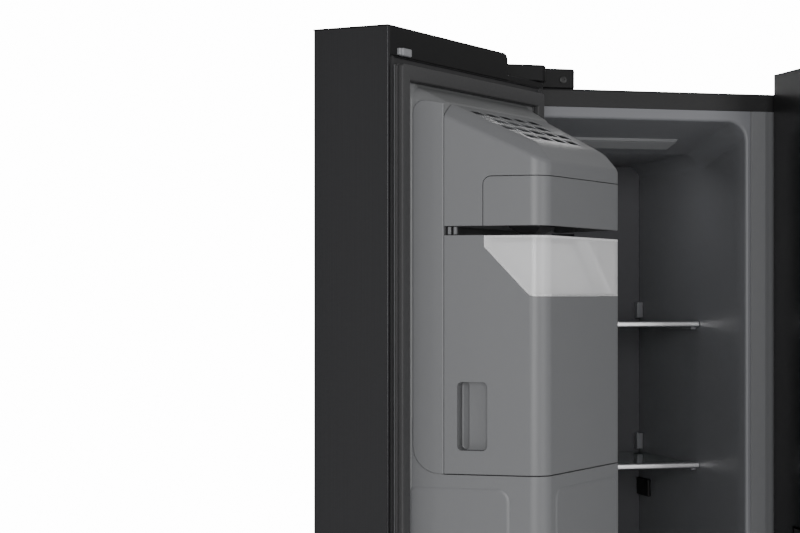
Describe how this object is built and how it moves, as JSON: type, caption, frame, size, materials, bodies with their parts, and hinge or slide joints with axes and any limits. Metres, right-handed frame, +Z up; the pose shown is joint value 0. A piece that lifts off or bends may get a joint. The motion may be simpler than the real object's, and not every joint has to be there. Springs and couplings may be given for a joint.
{
  "type": "side by side refrigerator",
  "caption": "Side by side refrigerator with hinged doors, an ice maker and bucket on the freezer door, glass shelves, drawers, bins and a compressor compartment.",
  "frame": {"origin": "on the floor, in the middle of the cabinet width, in the plane of the cabinet front edge", "axes": "+X to the right as seen from the front, +Y to the back, +Z up"},
  "size_m": [1.1867, 1.0065, 1.776],
  "materials": {
    "dark_steel": "brushed, dark lacquered",
    "grey_steel": "satin",
    "zinc_steel": "galvanised",
    "black_plastic": "fine grained",
    "gloss_black": "polished",
    "liner_grey": "satin moulded",
    "module_grey": "fine grained",
    "light_trim": "satin",
    "silver_trim": "anodised",
    "shelf_glass": "clear tempered",
    "clear_plastic": "clear moulded",
    "drawer_plastic": "frosted clear",
    "foam": "rigid foam",
    "gasket": "flexible, magnetic",
    "roller_plastic": "moulded",
    "aluminium": "mill finish",
    "black_enamel": "semi gloss",
    "lamp_white": "translucent",
    "fan_plastic": "moulded"
  },
  "bodies": {
    "cabinet": {"cabinet_shell": "dark_steel", "back_panel": "grey_steel", "cabinet_insulation": "foam", "freezer_liner": "liner_grey", "fridge_liner": "liner_grey", "mullion_cover": "light_trim", "base_frame": "zinc_steel", "kick_grille": "black_plastic", "levelling_feet": "black_plastic", "top_hinges": "zinc_steel", "bottom_hinges": "zinc_steel", "hinge_covers": "black_plastic", "compressor": "black_enamel", "condenser": "black_enamel", "fan_motors": "black_plastic", "drain_pan": "black_plastic", "machine_cover": "grey_steel", "water_valve": "black_plastic", "cord_gland": "black_plastic", "evaporator": "aluminium", "freezer_back_panel": "liner_grey", "fridge_back_panel": "liner_grey", "lamp_covers": "lamp_white", "shelf_glass": "shelf_glass", "shelf_trims": "silver_trim", "shelf_supports": "liner_grey", "crisper_lower": "drawer_plastic", "crisper_upper": "drawer_plastic"},
    "front_rollers": {"front_rollers": "roller_plastic"},
    "rear_rollers": {"rear_rollers": "roller_plastic"},
    "condenser_fan": {"condenser_fan": "fan_plastic"},
    "freezer_fan": {"freezer_fan": "fan_plastic"},
    "lower_freezer_drawer": {"freezer_drawer_lower": "drawer_plastic"},
    "upper_freezer_drawer": {"freezer_drawer_upper": "drawer_plastic"},
    "freezer_door": {"freezer_door_skin": "dark_steel", "freezer_door_handle": "black_plastic", "freezer_door_caps": "black_plastic", "freezer_door_insulation": "foam", "freezer_door_liner": "module_grey", "freezer_door_gasket": "gasket", "freezer_door_bins": "drawer_plastic", "ice_unit_housing": "module_grey", "ice_chute": "module_grey", "ice_maker_cover": "module_grey", "ice_maker_frame": "light_trim", "dispenser_panel": "gloss_black"},
    "fridge_door": {"fridge_door_skin": "dark_steel", "fridge_door_handle": "black_plastic", "fridge_door_caps": "black_plastic", "fridge_door_insulation": "foam", "fridge_door_liner": "module_grey", "fridge_door_gasket": "gasket", "fridge_door_bins": "drawer_plastic"},
    "ice_bucket": {"ice_bucket": "module_grey", "ice_bucket_window": "clear_plastic"},
    "ice_auger": {"ice_auger": "zinc_steel"},
    "cover_flap": {"ice_cover_flap": "module_grey"},
    "ice_tray": {"ice_tray": "module_grey"},
    "dispenser_lever": {"dispenser_lever": "black_plastic"},
    "drip_tray": {"drip_tray": "black_plastic"}
  },
  "joints": [
    {"name": "freezer_door_hinge", "type": "hinge", "parent": "cabinet", "child": "freezer_door", "pos_m": [-0.435, -0.049, 1], "axis": [0, 0, -1], "range_deg": [-133, 0]},
    {"name": "fridge_door_hinge", "type": "hinge", "parent": "cabinet", "child": "fridge_door", "pos_m": [0.435, -0.049, 1], "axis": [0, 0, 1], "range_deg": [0, 133]},
    {"name": "lower_drawer_slide", "type": "slide", "parent": "cabinet", "child": "lower_freezer_drawer", "axis": [0, -1, 0], "range_m": [0, 0.24]},
    {"name": "upper_drawer_slide", "type": "slide", "parent": "cabinet", "child": "upper_freezer_drawer", "axis": [0, -1, 0], "range_m": [0, 0.24]},
    {"name": "front_roller_spin", "type": "hinge", "parent": "cabinet", "child": "front_rollers", "pos_m": [0, 0.11, 0.019], "axis": [1, 0, 0], "continuous": true},
    {"name": "rear_roller_spin", "type": "hinge", "parent": "cabinet", "child": "rear_rollers", "pos_m": [0, 0.54, 0.019], "axis": [1, 0, 0], "continuous": true},
    {"name": "freezer_fan_spin", "type": "hinge", "parent": "cabinet", "child": "freezer_fan", "pos_m": [-0.25375, 0.426, 1.547], "axis": [0, 1, 0], "continuous": true},
    {"name": "condenser_fan_spin", "type": "hinge", "parent": "cabinet", "child": "condenser_fan", "pos_m": [-0.215, 0.491, 0.19], "axis": [0, 1, 0], "continuous": true},
    {"name": "ice_bucket_slide", "type": "slide", "parent": "freezer_door", "child": "ice_bucket", "axis": [0.7314, -0.682, 0], "range_m": [0, 0.13]},
    {"name": "ice_auger_spin", "type": "hinge", "parent": "ice_bucket", "child": "ice_auger", "pos_m": [-0.46171, -0.26679, 1.348], "axis": [0.7314, -0.682, 0], "continuous": true},
    {"name": "cover_flap_slide", "type": "slide", "parent": "freezer_door", "child": "cover_flap", "axis": [0.7314, -0.682, 0], "range_m": [0, 0.04]},
    {"name": "ice_tray_twist", "type": "hinge", "parent": "freezer_door", "child": "ice_tray", "pos_m": [-0.46682, -0.27228, 1.614], "axis": [-0.682, -0.7314, 0], "range_deg": [-150, 0]},
    {"name": "dispenser_lever_hinge", "type": "hinge", "parent": "freezer_door", "child": "dispenser_lever", "pos_m": [-0.57395, -0.16281, 1.112], "axis": [-0.682, -0.7314, 0], "range_deg": [0, 12], "stiffness_Nm_per_rad": 0.3},
    {"name": "drip_tray_slide", "type": "slide", "parent": "freezer_door", "child": "drip_tray", "axis": [-0.7314, 0.682, 0], "range_m": [0, 0.05]}
  ]
}
